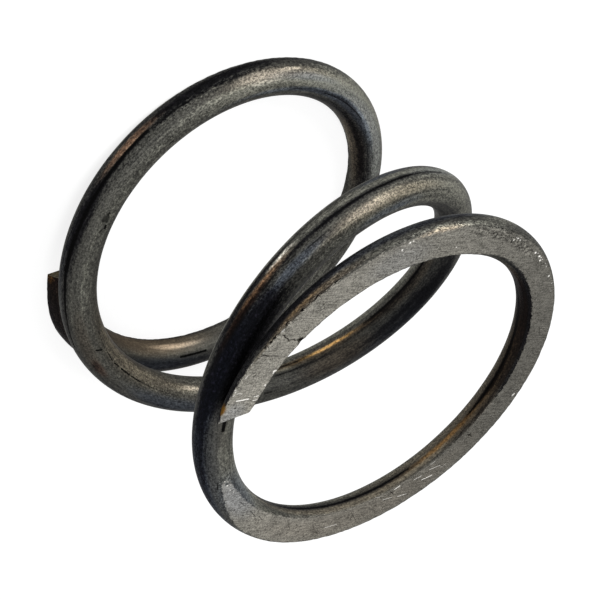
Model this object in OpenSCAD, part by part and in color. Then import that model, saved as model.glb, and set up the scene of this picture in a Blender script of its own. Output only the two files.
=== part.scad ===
// Valve spring: a short compression spring of about three turns, wound right-handed from one
// length of round wire. Both ends are closed against the next coil and ground flat, so it
// stands square on either of them. It is modelled standing on its bottom end, with +Z up and
// the origin under the middle of its outline. The bottom end of the wire starts near +X.
// Sizes are in millimetres and angles in degrees.

/* [Wire] */
// Diameter of the wire
wire_d = 4.8; // [4:0.1:5.2]

/* [Coil] */
// Mean diameter of the coil, to the middle of the wire
mean_d = 46; // [38:0.5:56]
// Height from the ground bottom to the ground top
free_length = 38; // [34:0.5:48]
// Turns of wire from end to end
turns = 2.96; // [2.8:0.01:3.2]

/* [Closed ends] */
// Rise a turn of the closed coil at the bottom
bottom_pitch = 4; // [3:0.1:5]
// Rise a turn of the closed coil at the top
top_pitch = 2.7; // [2:0.1:5]
// Turns over which the pitch opens from the bottom coil to the middle
bottom_opening = 0.77; // [0.6:0.01:1]
// Turns over which the pitch closes from the middle to the top coil
top_opening = 0.88; // [0.6:0.01:1]

/* [Ground ends] */
// Thickness that grinding leaves at the bottom tip of the wire
bottom_tip = 1.8; // [1:0.1:2.4]
// Thickness that grinding leaves at the top tip of the wire
top_tip = 1.6; // [1:0.1:2.4]
// Length over which the bottom tip bends in
tuck_length = 10; // [4:1:20]
// How far the bottom tip bends in
tuck = 0.6; // [0:0.1:1]

/* [Truth of the coil] */
// Lean of the coil's axis, against the square of the ground ends
lean = 2.1; // [0:0.1:3]
// Direction that the axis leans towards, from +X
lean_dir = 233; // [0:1:359]
// How far the top coil is wound off the axis
top_shift = 1.6; // [0:0.1:2]
// Direction that the top coil is off towards, from +X
shift_dir = 264; // [0:1:359]
// How far the wire is drawn in where it leaves the top coil
draw_in = 0.6; // [0:0.1:1]

/* [Smoothness] */
// Sides of the wire's round section
sides = 20; // [12:4:24]
// Sections a turn along the wire
sections = 72; // [48:4:72]

/* [Hidden] */

wire_r = wire_d / 2;
coil_r = mean_d / 2;
middle = turns / 2;
last = round(turns * sections);
steel = [0.34, 0.34, 0.35];

// The top coil's shift grows over these turns, counted from the bottom end of the wire
shift_from = middle + 0.02;
shift_to = turns - 0.56;
// The wire is drawn in round this turn, and over about this many turns each way
draw_turn = turns - 0.93;
draw_width = 0.22;
tuck_turns = tuck_length / (PI * mean_d);

// Rounds off from 0 to 1 as x goes from 0 to 1
function ease(x) = let (c = min(max(x, 0), 1)) c * c * (3 - 2 * c);

// Radius of the coil, and its shift off the axis, at turn t
function radius(t) =
    coil_r - draw_in * exp(-pow((t - draw_turn) / draw_width, 2)) - tuck * ease(1 - t / tuck_turns);
function shift(t) = top_shift * ease((t - shift_from) / (shift_to - shift_from)) * heading(shift_dir);

// Unit vector in the plan at an angle from +X
function heading(a) = [cos(a), sin(a), 0];

// Leans a point about the origin, towards lean_dir
function leaned(p) =
    let (h = heading(lean_dir), out = p * h)
    p + h * (out * (cos(lean) - 1) + p.z * sin(lean)) + [0, 0, p.z * (cos(lean) - 1) - out * sin(lean)];

// Height that a point of the plan needs before the lean, to be at height z after it
function before_lean(p, z) = (z + sin(lean) * (p * heading(lean_dir))) / cos(lean);

// Where the wire's middle starts and ends, so that grinding leaves the stated tips
start_z = before_lean(plan(0), bottom_tip - wire_r);
end_z = before_lean(plan(turns), free_length - top_tip + wire_r);

// The pitch is that of the closed coils at both ends and rises to its peak in the middle.
// The peak follows from the height to be made up between the two ends of the wire.
peak_pitch =
    let (open = (bottom_opening + top_opening) / 2)
    (end_z - start_z - middle * (bottom_pitch + top_pitch)
        + (bottom_pitch * bottom_opening + top_pitch * top_opening) / 2) / open;

// Height gained over x turns away from the middle, where the pitch falls to p over w turns
function gained(x, p, w) =
    let (y = min(x / w, 1))
    p * x + (peak_pitch - p) * w * (y / 2 + sin(180 * y) / (2 * PI));
middle_z = start_z + gained(middle, bottom_pitch, bottom_opening);
function height(t) = t < middle
    ? middle_z - gained(middle - t, bottom_pitch, bottom_opening)
    : middle_z + gained(t - middle, top_pitch, top_opening);

// Middle of the wire at turn t
function plan(t) = radius(t) * heading(360 * t) + shift(t);
function centre(t) = leaned(plan(t) + [0, 0, height(t)]);

// The wire's round section at turn t, square to the wire, with its first axis level
function section(t) =
    let (
        step = 0.001,
        along = centre(t + step) - centre(t - step),
        level = cross(along, [0, 0, 1]),
        out = level / norm(level),
        rise = cross(out, along),
        up = rise / norm(rise)
    )
    [for (j = [0:sides - 1])
        let (a = 360 * j / sides)
        centre(t) + wire_r * (cos(a) * out + sin(a) * up)];

points = [for (i = [0:last]) each section(turns * i / last)];
skin = [for (i = [0:last - 1], j = [0:sides - 1])
    let (a = i * sides + j, b = i * sides + (j + 1) % sides)
    [a, b, b + sides, a + sides]];
bottom_cap = [for (j = [sides - 1:-1:0]) j];
top_cap = [for (j = [0:sides - 1]) last * sides + j];

// Middle of the outline, seen from above
xs = [for (p = points) p.x];
ys = [for (p = points) p.y];
outline_centre = [(min(xs) + max(xs)) / 2, (min(ys) + max(ys)) / 2, 0];

// The wire as it is wound, before its ends are ground
module wound_wire() {
    polyhedron(points, concat(skin, [bottom_cap, top_cap]), convexity = 8);
}

// What grinding takes off one end: a block whose face is the ground plane
module ground_away() {
    block = 2 * mean_d;
    translate([-block / 2, -block / 2, 0]) cube([block, block, wire_d]);
}

module valve_spring() {
    color(steel)
    translate(-outline_centre)
    difference() {
        wound_wire();
        mirror([0, 0, 1]) ground_away();
        translate([0, 0, free_length]) ground_away();
    }
}

valve_spring();
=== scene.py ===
"""Looks of the valve spring: its wound and ground wire as a fine mesh, in the frame of the CAD part.

The wire's path repeats the values and formulas of the part's source, in metres. A place on the wire is given by its
turn, counted from the bottom end, and its angle round the wire: 0 outward, 90 up, 180 inward and 270 down.
"""
import math

import bpy
import numpy as np
from mathutils import Matrix, Vector, noise


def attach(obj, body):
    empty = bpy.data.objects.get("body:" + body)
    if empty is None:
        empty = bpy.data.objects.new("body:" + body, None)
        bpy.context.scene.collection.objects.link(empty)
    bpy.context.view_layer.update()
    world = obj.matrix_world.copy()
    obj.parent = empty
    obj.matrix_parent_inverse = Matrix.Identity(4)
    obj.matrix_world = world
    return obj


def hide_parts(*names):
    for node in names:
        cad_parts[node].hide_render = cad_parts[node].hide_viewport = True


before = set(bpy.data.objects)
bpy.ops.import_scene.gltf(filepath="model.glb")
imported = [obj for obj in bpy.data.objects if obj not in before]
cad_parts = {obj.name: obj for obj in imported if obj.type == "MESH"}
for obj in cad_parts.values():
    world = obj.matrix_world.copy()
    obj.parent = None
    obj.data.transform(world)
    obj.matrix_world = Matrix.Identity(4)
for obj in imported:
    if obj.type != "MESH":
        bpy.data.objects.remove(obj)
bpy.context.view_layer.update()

MM = 0.001

# The spring, as in the part's source
WIRE_R = 2.4 * MM
COIL_R = 23 * MM
FREE_LENGTH = 38 * MM
TURNS = 2.96
BOTTOM_PITCH, TOP_PITCH = 4 * MM, 2.7 * MM
BOTTOM_OPENING, TOP_OPENING = 0.77, 0.88
BOTTOM_TIP, TOP_TIP = 1.8 * MM, 1.6 * MM
TUCK, TUCK_LENGTH = 0.6 * MM, 10 * MM
LEAN, LEAN_DIR = math.radians(2.1), math.radians(233)
TOP_SHIFT, SHIFT_DIR = 1.6 * MM, math.radians(264)
DRAW_IN, DRAW_WIDTH = 0.6 * MM, 0.22
MIDDLE = TURNS / 2
SHIFT_FROM, SHIFT_TO = MIDDLE + 0.02, TURNS - 0.56
DRAW_TURN = TURNS - 0.93
TUCK_TURNS = TUCK_LENGTH / (2 * math.pi * COIL_R)
SOURCE_SECTIONS, SOURCE_SIDES = 72, 20

# Fineness of the mesh: first and last turn of each span and the rings in it, and points round each ring
RING_SPANS = ((0, 0.95, 270), (0.95, 2.0, 265), (2.0, 2.84, 330), (2.84, 2.91, 75), (2.91, TURNS, 55))
ON_FLAT, ON_SIDE = 30, 18
SIDES = 2 * (ON_FLAT + ON_SIDE)
CAP_STEPS = 6
# Angle at which a ring's flat block starts: at the most where the ring is ground, and at rest far from there. It
# relaxes over this much of the cut's height, in wire radii
NARROWEST, WIDEST, RELAX = math.radians(78), math.radians(30), 0.15
SHARP_EDGE = math.radians(25)

# How far the start of the top face dips, so that grinding marks it a little earlier, at which turn and over how many
START_DIP, DIP_TURN, DIP_WIDTH = 0.25 * MM, 2.02, 0.04
# How far the look of the ground face reaches over that rounded start, in millimetres, at which turn and over how
# many, and the height on the wire from which it does, in wire radii
START_REACH, REACH_TURN, REACH_WIDTH, REACH_HEIGHT = 0.35, 2.034, 0.012, 0.8
# How fast a point gets further outside a face before the face starts: the top one and the low one
TOP_START_FALL, LOW_START_FALL = 9, 36
# The top tip's sheared end, in millimetres: how far its outer and inner corners stand back, the inner corner's
# chamfer along the wire and across it, and the length that these fade over. Its half chord is in wire radii
TIP_OUTER, TIP_INNER = -0.25, 0.77
CHAMFER_ALONG, CHAMFER_ACROSS = 1.1, 0.35
TIP_REACH = 4.0
TIP_HALF_CHORD = 0.943
# Dents in a sheared end: their depth and how far it is hollow besides, in millimetres, and waves a millimetre
DENT_DEPTH, END_HOLLOW, DENT_WAVES = 0.25, 0.04, 0.9
# Wear at the edges of the ground faces, in millimetres: its depth and half width. Near TEAR_TURN the outer edge is
# torn deeper, by a factor of 1 + TEAR. Then the ripple of all the wire, and the bevel of the dirty inner edge.
# Wear and ripple come and go with noise: where noise plus its base is below 0 there is none
WEAR_DEPTH, WEAR_WIDTH, WEAR_GAIN, WEAR_BASE = 0.04, 0.24, 1.3, 0.35
TEAR, TEAR_TURN, TEAR_WIDTH = 3.0, 2.865, 0.05
RIPPLE_DEPTH, RIPPLE_BASE = 0.008, 0.4
BEVEL, BEVEL_WIDTH = 0.22, 0.3
# A point this near to an edge, in millimetres, is carved in between the directions of the two sides
EDGE_WIDTH = 0.02
# Turns over which the dirt fades, the lowest point of the section that it reaches, and how far down from the top face
# the nicks reach, both in wire radii
DIRT_FADE, DIRT_LOWEST, NEAR_FACE = 0.04, -0.6, 0.35

# Noise of the mesh, and how far it moves the tints round the wire, in degrees
ROUGHNESS, LACUNARITY = 0.8, 2.1
TINT_WANDER = 2
# A thin line fades at each end over its length divided by this
LINE_ENDS = 5

# The photograph's camera
CAMERA_PLACE = (0.123308, -0.187012, 0.171885)
CAMERA_AZIMUTH, CAMERA_ELEVATION, CAMERA_ROLL = 33.457, 34.291, -139.604
FOCAL_PIXELS = 2159.85
PICTURE_SIDE = 600
SENSOR = 36

# Tone of the oxide by place, as the photo shows it: lighter and darker patches, as turn, angle round the wire, half
# length in turns, half width in degrees and strength. They are partly the oxide's own tone and partly painted light:
# the lighter ones hold painted highlights, lit bands and lit rims, and the darker ones hold painted shade
OXIDE_TONE_AND_HIGHLIGHT_BANDS = (
    (0.57, 75, 0.13, 32, 0.8), (0.6, 35, 0.09, 22, 0.6), (0.72, 66, 0.08, 30, 0.6), (0.79, 68, 0.06, 34, 0.15),
    (0.64, 8, 0.05, 14, 0.3), (0.57, 172, 0.05, 12, 0.4), (0.857, -1, 0.03, 12, 1.35), (0.987, 81, 0.03, 14, 0.2),
    (1.337, 137, 0.02, 24, 0.1), (2.405, 172, 0.02, 7, 0.3), (2.725, 20, 0.012, 8, 0.3), (0.87, 90, 0.12, 32, 0.2),
    (1.12, 155, 0.12, 36, 0.3), (0.2, 168, 0.1, 22, 0.25), (0.2, 130, 0.07, 20, 0.3), (1.37, 222, 0.22, 20, 1.1),
    (1.345, 179, 0.03, 7, 1.0), (1.288, 168, 0.018, 7, 0.7), (1.975, 107, 0.01, 20, 0.3),
    (1.185, 137, 0.015, 14, 0.3), (1.137, 163, 0.015, 10, 0.3), (1.738, 34, 0.02, 12, 0.35),
    (1.378, 177, 0.025, 7, 0.35), (1.292, 193, 0.02, 8, 0.4), (1.64, 25, 0.06, 34, 0.6), (1.66, 74, 0.13, 36, 0.8),
    (1.75, 46, 0.05, 22, 0.1), (1.66, -6, 0.05, 14, 0.7), (1.75, -14, 0.07, 12, 0.6), (1.86, -46, 0.2, 12, 0.8),
    (1.845, 2, 0.024, 9, 0.6), (1.812, 46, 0.014, 9, 0.2), (1.845, 33, 0.012, 9, 0.5), (2.832, -8, 0.016, 14, 0.3),
    (2.03, 150, 0.1, 34, 0.7), (2.02, 92, 0.03, 34, 0.5), (2.2, 172, 0.1, 14, 0.4), (2.15, 214, 0.08, 14, 0.4),
    (2.34, 172, 0.05, 8, 0.6), (2.35, 222, 0.28, 20, 0.6), (2.35, 183, 0.03, 6, 0.35), (2.66, -14, 0.03, 30, 0.6),
    (2.655, -26, 0.03, 12, 0.5), (2.705, 27, 0.04, 16, 0.25), (2.853, -6, 0.016, 7, 0.6), (2.9, 4, 0.02, 16, 0.7),
    (2.868, 6, 0.022, 14, 0.6), (0.84, -44, 0.12, 10, 0.9), (1.98, 70, 0.03, 30, 0.15), (0.003, 24, 0.006, 14, 0.4),
)
# Darker patches: partly the oxide's own dark tone, partly painted shade on sides turned from the light and between
# coils
OXIDE_TONE_AND_SHADE_BANDS = (
    (0.8, -3, 0.07, 17, -0.8), (0.91, 0, 0.08, 17, -0.8), (0.0, 0, 0.1, 400, -1.2), (0.21, 84, 0.1, 24, -0.7),
    (0.56, 126, 0.12, 26, -0.9), (1.02, 17, 0.05, 14, -0.4), (1.079, 62, 0.012, 14, -0.4), (0.627, 93, 0.03, 6, -0.7),
    (0.925, 15, 0.035, 17, -0.7), (0.94, 34, 0.06, 8, -0.4), (0.845, 24, 0.05, 6, -0.4), (2.445, 181, 0.035, 6, -1.0),
    (1.17, 78, 0.04, 26, -0.3), (1.41, 120, 0.15, 52, -0.6), (1.42, 172, 0.06, 14, -0.5), (1.905, 58, 0.06, 56, -1.4),
    (1.87, -22, 0.05, 10, -0.8), (1.93, 8, 0.04, 20, -1.2), (2.02, 8, 0.07, 30, -0.9), (2.46, 166, 0.12, 16, -0.4),
    (2.84, -34, 0.06, 24, -0.9), (2.93, -20, 0.07, 40, -0.8), (2.76, -55, 0.06, 12, -0.9),
    (0.19, 194, 0.12, 16, -0.7), (0.9, 50, 0.1, 24, -0.2), (1.1, 45, 0.08, 24, -0.35), (0.86, -24, 0.09, 9, -0.4),
    (1.48, 104, 0.05, 18, -0.5), (1.61, 125, 0.06, 35, -0.4), (1.84, 150, 0.04, 40, -0.5),
    (2.005, 55, 0.03, 24, -0.3), (2.5, 152, 0.12, 26, -0.6), (2.55, 185, 0.06, 50, -0.6), (2.73, -12, 0.07, 14, -0.6),
    (2.845, 18, 0.03, 24, -0.5), (0.94, 26, 0.06, 12, -0.4), (1.84, 115, 0.03, 40, -0.3), (0.7, -14, 0.07, 26, -0.5),
    (0.77, 6, 0.06, 22, -0.5), (1.96, 22, 0.035, 30, -0.4), (0.32, -30, 0.06, 40, -0.6), (1.895, -4, 0.02, 14, -0.4),
    (0.74, 46, 0.05, 12, -0.25), (0.98, -6, 0.03, 10, -0.15), (2.829, -14, 0.009, 9, -0.4),
    (2.52, 132, 0.13, 20, -0.6), (1.43, 112, 0.05, 30, -0.35), (1.157, 150, 0.01, 10, -0.25),
    (1.668, 30, 0.02, 16, -0.25),
)
# Thin dark lines along it, partly painted dark reflection: first and last turn, angle at each, half width in degrees
# and strength
DARK_LINES = (
    (0.7, 1.04, 19, 17, 5, -0.4), (0.57, 0.72, 99, 95, 4, -0.8), (1.68, 1.92, 9, 6, 6, -1.0),
    (2.12, 2.33, 186, 188, 6, -1.4), (2.37, 2.64, 188, 184, 6, -1.6), (1.25, 1.32, 181, 181, 5, -0.7),
    (1.37, 1.55, 181, 182, 6, -1.3), (1.26, 1.36, 157, 156, 5, -0.5), (1.55, 1.7, -22, -30, 4, -0.4),
    (1.64, 1.74, 61, 70, 5, -0.5), (1.64, 1.72, 9, 6, 5, -0.8),
)
# Heat tints, as the patches: straw to brown, gold, copper and blue. Then painted highlights, bright spots and rims
# where light catches the wire, and rust
STRAW = (
    (0.17, 165, 0.08, 40, 0.55), (0.72, 40, 0.06, 22, 0.2), (0.857, -1, 0.034, 13, 0.35), (0.55, 150, 0.06, 30, 0.4),
    (1.09, 150, 0.1, 40, 0.2), (1.185, 148, 0.03, 14, 0.1), (1.335, 178, 0.05, 16, 0.4), (1.46, 170, 0.07, 18, 0.3),
    (1.74, 46, 0.07, 22, 0.25), (1.875, 1, 0.045, 12, 0.7), (2.25, 172, 0.16, 12, 0.25), (2.5, 168, 0.12, 24, 0.7),
    (2.365, 183, 0.07, 9, 0.6), (2.73, 26, 0.022, 14, 0.3), (2.85, 4, 0.05, 17, 0.45), (2.85, -12, 0.03, 10, 0.35),
    (1.385, 177, 0.03, 8, 0.35), (0.006, 0, 0.022, 400, 0.6), (0.06, 0, 0.04, 400, 0.3), (1.05, 60, 0.04, 22, 0.2),
    (1.345, 128, 0.04, 34, 0.35), (2.25, 90, 0.13, 70, 0.15), (2.45, 200, 0.2, 30, 0.3),
)
GOLD = (
    (1.342, 180, 0.032, 7, 0.7), (1.302, 181, 0.02, 8, 0.3), (2.358, 184, 0.04, 7, 0.45), (2.852, -6, 0.02, 10, 0.15),
    (1.08, 130, 0.12, 40, 0.08), (1.97, 75, 0.05, 25, 0.05), (1.36, 172, 0.1, 12, 0.1), (1.88, 0, 0.04, 10, 0.1),
    (0.003, 24, 0.007, 16, 0.8),
)
COPPER = (
    (0.857, -1, 0.034, 13, 0.65), (1.079, 62, 0.012, 14, 0.5), (2.55, 168, 0.06, 20, 0.25), (1.87, 0, 0.04, 12, 0.4),
    (0.02, 0, 0.06, 400, 0.15),
)
BLUE = (
    (0.19, 95, 0.05, 22, 0.8), (0.61, 100, 0.06, 16, 0.9), (1.17, 82, 0.05, 28, 0.9), (1.4, 90, 0.08, 22, 0.3),
    (1.9, 36, 0.05, 24, 0.6), (2.05, 14, 0.08, 24, 0.9), (2.76, -24, 0.1, 16, 0.7), (1.83, 38, 0.03, 14, 1.0),
    (1.74, 88, 0.03, 14, 0.7), (1.72, -30, 0.03, 12, 0.8), (2.065, 110, 0.035, 60, 0.7), (2.955, 60, 0.012, 80, 0.5),
    (2.765, 110, 0.03, 70, 0.35), (0.98, -6, 0.06, 12, 0.3), (1.94, 20, 0.05, 24, 0.8), (0.57, 84, 0.1, 36, 0.35),
    (0.7, 52, 0.03, 14, 0.25), (2.01, 20, 0.06, 60, 0.4), (0.67, 97, 0.1, 9, 0.9), (0.68, 55, 0.03, 12, 0.35),
    (1.71, 81, 0.02, 14, 0.4), (1.42, 112, 0.05, 30, 0.25), (1.66, 0, 0.04, 16, 0.3),
)
PAINTED_HIGHLIGHTS = (
    (1.832, -12, 0.012, 5, 0.8), (0.21, 154, 0.03, 9, 0.28), (0.735, 40, 0.026, 16, 0.14),
    (0.735, 62, 0.016, 8, 0.14), (0.705, 31, 0.012, 6, 0.25), (1.34, 180, 0.018, 5, 0.4), (1.19, 148, 0.012, 8, 0.25),
    (2.345, 183, 0.018, 4, 0.03), (2.728, 30, 0.03, 12, 0.12), (1.38, 238, 0.12, 10, 0.12),
    (2.25, 240, 0.16, 10, 0.12), (2.05, 205, 0.06, 12, 0.12), (0.58, 78, 0.05, 16, 0.08), (1.755, 44, 0.03, 12, 0.12),
)
RUST = ((2.949, -16, 0.0036, 20, 1.0), (2.9455, -18, 0.0022, 15, 0.5))
# Where the wire is smoother, with less grain in its oxide, and where the boundary of bright and dark is frayed
CALM = (
    (0.2, 130, 0.14, 80, 0.65), (1.38, 130, 0.18, 60, 0.55), (1.04, 70, 0.15, 60, 0.3), (2.42, 175, 0.26, 40, 0.45),
    (0.66, 60, 0.14, 50, 0.15), (1.98, 80, 0.05, 50, 0.4),
)
FRAYED = ((0.69, 22, 0.14, 16, 1.0), (0.81, 18, 0.06, 14, 0.7), (0.857, -1, 0.04, 14, 0.6))
# Dark marks and spots on the wire, partly real marks and partly painted dark reflection lines and a painted shadow:
# turn and angle at both ends, half width in millimetres, strength
MARKS = (
    (0.66, 25, 0.8, 20, 0.1, 0.25), (0.8, 20, 0.84, 14, 0.14, 0.7), (0.84, 14, 0.94, 17, 0.36, 1.0),
    (0.94, 16, 0.972, 15, 0.46, 1.0), (0.972, 15, 0.99, 20, 0.32, 1.0), (0.99, 20, 1.015, 21, 0.22, 1.0),
    (1.015, 21, 1.05, 19, 0.14, 1.0), (0.59, 96, 0.66, 99, 0.09, 0.7), (1.04, 116, 1.062, 113, 0.08, 0.6),
    (1.068, 113, 1.08, 111, 0.1, 0.9), (1.084, 111, 1.091, 114, 0.14, 1.0), (1.095, 115, 1.109, 117, 0.15, 1.0),
    (1.112, 117, 1.125, 118, 0.13, 1.0), (1.125, 118, 1.18, 118, 0.08, 0.6), (1.28, 156, 1.32, 158, 0.11, 0.6),
    (1.27, 181, 1.318, 181, 0.08, 0.5), (1.385, 182, 1.53, 182, 0.12, 0.8), (1.7, 8, 1.8, 8, 0.15, 0.8),
    (2.17, 187, 2.31, 188, 0.09, 0.8), (2.39, 187, 2.47, 184, 0.17, 0.9), (2.47, 184, 2.6, 186, 0.14, 0.9),
    # On this line, the mark at turn 1.968 is the painted shadow that the top tip casts on the coil below
    (0.214, 116, 0.243, 117, 0.24, 1.0), (1.968, 84, 1.978, 84, 0.36, 1.0), (0.829, 92, 0.832, 92, 0.16, 0.8),
    (0.9108, 79, 0.9128, 80, 0.24, 0.9), (0.9155, 77, 0.919, 74, 0.34, 0.75), (0.9145, 82, 0.9185, 86, 0.3, 0.75),
    (0.923, 90, 0.925, 91, 0.26, 1.0), (0.927, 83, 0.9295, 79, 0.2, 0.65), (1.655, 9, 1.7, 8, 0.07, 0.7),
    (1.057, 86, 1.0605, 101, 0.2, 1.0), (1.266, 110, 1.272, 110, 0.24, 0.7), (1.8, 32, 1.815, 30, 0.12, 0.8),
    (1.845, 14, 1.86, 14, 0.16, 0.8), (1.825, 18, 1.835, 17, 0.14, 0.7), (2.035, 66, 2.042, 60, 0.16, 0.7),
    (0.69, 96, 0.7, 96, 0.12, 0.6),
)

# Where dirt reaches over a ground face from its edge: first and last turn, edge (1 outer, -1 inner), millimetres
DIRT = ((2.77, 2.93, 1, 0.36), (2.4, 2.68, -1, 0.52), (2.6, 2.76, 1, 0.15))
# Where an outer edge is flecked with oxide and bare steel, which on the oxide also brightens it as a painted
# highlight,
# and where it is torn: turn, half length in turns, place inside the edge and half width in millimetres, strength
FLECKED = (
    (2.672, 0.024, 0.8, 0.9, 1.0), (2.63, 0.03, 1.1, 0.8, 1.0), (2.735, 0.035, 0.1, 0.7, 0.8),
    (2.82, 0.035, -0.6, 0.9, 0.2),
)
TORN = ((2.855, 0.06, 0.2, 0.5, 1.0), (2.8, 0.04, 0.15, 0.4, 0.6), (2.92, 0.03, 0.0, 0.4, 0.5))
# Tone of the ground face along it, partly dirt and partly painted shade where less light falls: turn, and how far it
# is darkened there
FACE_DIRT_AND_SHADE = (
    (0, 0.6), (0.9, 0.2), (2.0, 0.08), (2.06, 0.1), (2.15, 0.26), (2.24, 0.52), (2.38, 0.86), (2.5, 0.86),
    (2.58, 0.7), (2.64, 0.55), (2.72, 0.32), (2.78, 0.24), (2.86, 0.1), (2.92, 0.0), (2.96, 0.0),
)
# Damage carved into the top face and its edges: turn, place across (1 outer edge, -1 inner), half length, half width
# and depth in millimetres, and how bright (1) or dark (-1) it is
NICKS = (
    (2.9085, -0.84, 0.3, 0.24, 0.05, 0.2), (2.9235, -0.86, 0.24, 0.2, 0.05, 0.2), (2.757, 0.7, 0.34, 0.26, 0.1, 0.2),
    (2.765, 0.44, 0.3, 0.2, 0.08, 0.2), (2.6385, 0.5, 0.52, 0.34, 0.12, 0.2), (2.6065, 0.55, 0.34, 0.22, 0.12, 0.2),
    (2.599, 0.58, 0.44, 0.24, 0.1, 0.2), (2.5925, 0.52, 0.3, 0.22, 0.12, 0.2), (2.5655, 0.62, 0.3, 0.26, 0.1, 0.2),
    (2.58, 0.68, 0.4, 0.14, 0.06, 0.3), (2.426, 0.58, 0.3, 0.2, 0.12, 1), (2.552, 0.76, 0.6, 0.14, 0.05, 0.45),
    (2.7245, 0.52, 0.4, 0.1, 0.06, -0.7), (2.7335, 0.46, 0.35, 0.09, 0.05, -0.6), (2.715, 0.6, 0.3, 0.1, 0.05, -0.6),
    (2.154, -0.87, 0.35, 0.25, 0.1, 0.5), (2.283, -0.54, 0.3, 0.2, 0.16, -1), (2.375, -0.28, 0.35, 0.2, 0.14, -1),
    (2.241, -0.03, 0.3, 0.2, 0.12, -1), (2.202, 0.4, 0.35, 0.25, 0.1, -0.6), (2.038, 0.02, 0.35, 0.14, 0.02, 0.6),
    (2.047, -0.1, 0.3, 0.16, 0.02, 0.6), (2.056, -0.05, 0.35, 0.2, 0.02, 0.4), (2.075, 0.05, 0.25, 0.2, 0.02, 0.4),
    (2.8722, 0.72, 0.34, 0.3, 0.08, 0.62), (2.885, 0.8, 0.24, 0.24, 0.14, -1.5),
    (2.8807, 0.84, 0.2, 0.22, 0.14, -1.4), (2.8778, 0.8, 0.2, 0.2, 0.14, -1.4), (2.8893, 0.84, 0.26, 0.2, 0.14, -1.5),
    (2.866, 0.84, 0.3, 0.22, 0.14, -1.6), (2.852, 0.82, 0.28, 0.22, 0.14, -1.6),
    (2.838, 0.84, 0.34, 0.22, 0.14, -1.6), (2.822, 0.84, 0.3, 0.22, 0.12, -1.5),
    (2.8716, -0.9, 0.34, 0.46, 0.12, -2.4), (2.8735, 0.24, 0.16, 0.34, 0.05, -0.5),
    (2.869, -0.16, 0.12, 0.34, 0.04, -0.5), (2.905, 0.9, 0.34, 0.2, 0.1, 0.6), (2.912, 0.92, 0.28, 0.2, 0.1, 0.6),
    (2.92, 0.9, 0.34, 0.2, 0.1, 0.5), (2.8945, 0.84, 0.24, 0.18, 0.08, 0.6), (2.9298, 0.9, 0.5, 0.28, 0.04, 0.3),
    (2.9311, 0.72, 0.5, 0.25, 0.04, 0.3), (2.933, 0.5, 0.4, 0.22, 0.03, 0.3), (2.9376, 0.9, 0.4, 0.22, 0.04, 0.35),
    (2.9177, 0.65, 0.3, 0.22, 0.05, 0.4), (2.9486, 0.23, 0.22, 0.22, 0.08, -0.75), (2.664, 0.8, 0.4, 0.3, 0.12, -0.5),
    (2.655, 0.66, 0.35, 0.3, 0.1, -0.6), (2.672, 0.62, 0.3, 0.25, 0.08, -0.6),
)
# The crack across the top face, as turn and place across, with its half width and depth in millimetres
CRACK = (
    (2.876, 0.48), (2.8753, 0.32), (2.8765, 0.16), (2.876, 0.02), (2.8772, -0.22), (2.8757, -0.34), (2.8742, -0.5),
    (2.8744, -0.62), (2.8726, -0.8), (2.8718, -1.0),
)
CRACK_WIDTH, CRACK_DEPTH = 0.085, 0.16

# Bright scratches on the ground faces: both ends in the part's plan and half width in millimetres, strength
SCRATCHES = (
    (21.8, -10.1, 20.2, -9.7, 0.13, 1.0), (19.5, -9.1, 18.9, -9.0, 0.09, 0.9), (19.4, -9.7, 18.8, -9.6, 0.09, 0.9),
    (-3.6, 20.5, -5.0, 20.7, 0.06, 0.7), (-6.0, 21.1, -7.4, 21.3, 0.07, 0.8), (-9.6, 19.7, -11.2, 19.6, 0.09, 1.0),
    (-10.5, 18.2, -12.2, 18.2, 0.05, 0.8), (-5.3, 19.3, -6.0, 19.0, 0.1, 1.0), (-12.4, 18.7, -13.2, 18.4, 0.05, 0.5),
    (-8.2, 19.0, -9.4, 18.8, 0.06, 0.8), (-2.0, 19.2, -3.0, 19.7, 0.04, 0.5), (-10.6, 17.2, -11.2, 16.9, 0.06, 0.6),
    (5.2, 21.2, 3.4, 21.5, 0.07, 0.6), (18.0, -10.8, 17.6, -11.1, 0.09, 0.7), (17.2, -12.5, 16.9, -12.9, 0.1, 0.9),
    (21.0, -13.4, 20.7, -13.7, 0.08, 0.6), (22.6, -12.0, 22.1, -12.0, 0.07, 0.7),
    (21.9, -11.3, 21.3, -11.1, 0.06, 0.6),
)
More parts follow.
